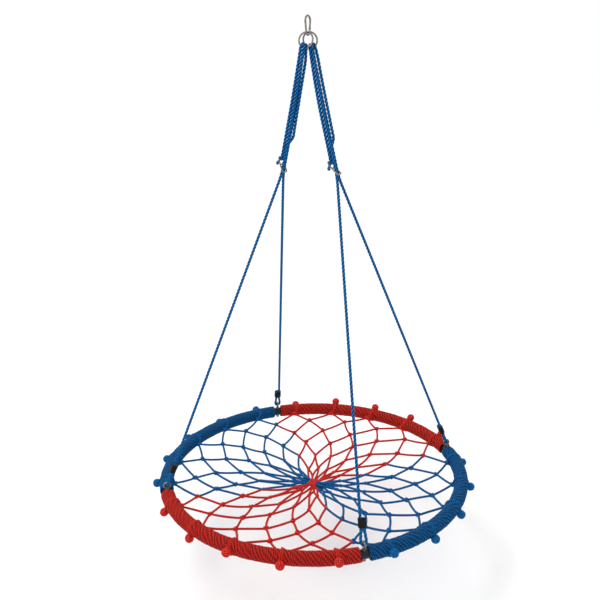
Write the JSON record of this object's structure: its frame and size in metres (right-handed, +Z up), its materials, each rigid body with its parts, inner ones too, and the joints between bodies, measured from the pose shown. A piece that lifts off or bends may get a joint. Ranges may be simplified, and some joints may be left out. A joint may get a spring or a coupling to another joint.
{
  "type": "nest swing",
  "caption": "Saucer nest swing: a round cord-wrapped tube ring with a knotted net seat, hung by ropes with adjusters from O-rings on one snap hook.",
  "frame": {"origin": "hanging point, on the inside of the snap hook's top bow", "axes": "+Z up along the hanging line, -Y to the front of the swing, +X to its right"},
  "size_m": [1.0413, 1.0397, 1.4715],
  "materials": {
    "steel": "satin",
    "dark_tube": "satin",
    "black_plastic": "matte",
    "aluminium_ferrule": "satin",
    "blue_rope": "matte",
    "blue_cord": "matte",
    "red_cord": "matte"
  },
  "bodies": {
    "hook": {"snap_hook_body": "steel", "gate_rivet": "steel"},
    "gate": {"snap_hook_gate": "steel", "gate_spring": "steel"},
    "o_rings": {"o_ring_left": "steel", "o_ring_right": "steel"},
    "seat": {"rope_front_left_lower": "blue_rope", "rope_front_left_upper": "blue_rope", "rope_front_left_tail": "blue_rope", "clamp_front_left_inner": "black_plastic", "clamp_front_left_outer": "black_plastic", "eye_bolt_front_left": "steel", "rope_back_left_lower": "blue_rope", "rope_back_left_upper": "blue_rope", "rope_back_left_tail": "blue_rope", "clamp_back_left_inner": "black_plastic", "clamp_back_left_outer": "black_plastic", "eye_bolt_back_left": "steel", "rope_back_right_lower": "blue_rope", "rope_back_right_upper": "blue_rope", "rope_back_right_tail": "blue_rope", "clamp_back_right_inner": "black_plastic", "clamp_back_right_outer": "black_plastic", "eye_bolt_back_right": "steel", "rope_front_right_lower": "blue_rope", "rope_front_right_upper": "blue_rope", "rope_front_right_tail": "blue_rope", "clamp_front_right_inner": "black_plastic", "clamp_front_right_outer": "black_plastic", "eye_bolt_front_right": "steel", "rope_ferrules": "aluminium_ferrule", "bolt_washers": "steel", "bolt_nuts": "steel", "ring_tube_right": "dark_tube", "cord_wrap_right": "blue_cord", "ring_knots_right": "blue_cord", "net_right": "blue_cord", "ring_tube_back": "dark_tube", "cord_wrap_back": "red_cord", "ring_knots_back": "red_cord", "net_back": "red_cord", "ring_tube_left": "dark_tube", "cord_wrap_left": "blue_cord", "ring_knots_left": "blue_cord", "net_left": "blue_cord", "ring_tube_front": "dark_tube", "cord_wrap_front": "red_cord", "ring_knots_front": "red_cord", "net_front": "red_cord", "net_centre": "red_cord"},
    "adjuster_left": {"rope_adjuster_left": "steel", "tail_knots_left": "blue_rope"},
    "adjuster_right": {"rope_adjuster_right": "steel", "tail_knots_right": "blue_rope"}
  },
  "joints": [
    {"name": "gate_hinge", "type": "hinge", "parent": "hook", "child": "gate", "pos_m": [0, 0.01111, -0.03193], "axis": [1, 0, 0], "range_deg": [0, 30], "stiffness_Nm_per_rad": 0.05},
    {"name": "swing_forwards", "type": "hinge", "parent": "hook", "child": "o_rings", "pos_m": [0, 0, -0.04096], "axis": [1, 0, 0], "range_deg": [-30, 30]},
    {"name": "swing_sideways", "type": "hinge", "parent": "o_rings", "child": "seat", "pos_m": [0, 0, -0.0619], "axis": [0, 1, 0], "range_deg": [-15, 15]},
    {"name": "adjuster_left_slide", "type": "slide", "parent": "seat", "child": "adjuster_left", "axis": [0.2298, 0, 0.9732], "range_m": [0, 0.15], "deforming": ["rope_front_left_tail", "rope_back_left_tail"]},
    {"name": "adjuster_right_slide", "type": "slide", "parent": "seat", "child": "adjuster_right", "axis": [-0.2298, 0, 0.9732], "range_m": [0, 0.15], "deforming": ["rope_front_right_tail", "rope_back_right_tail"]}
  ]
}
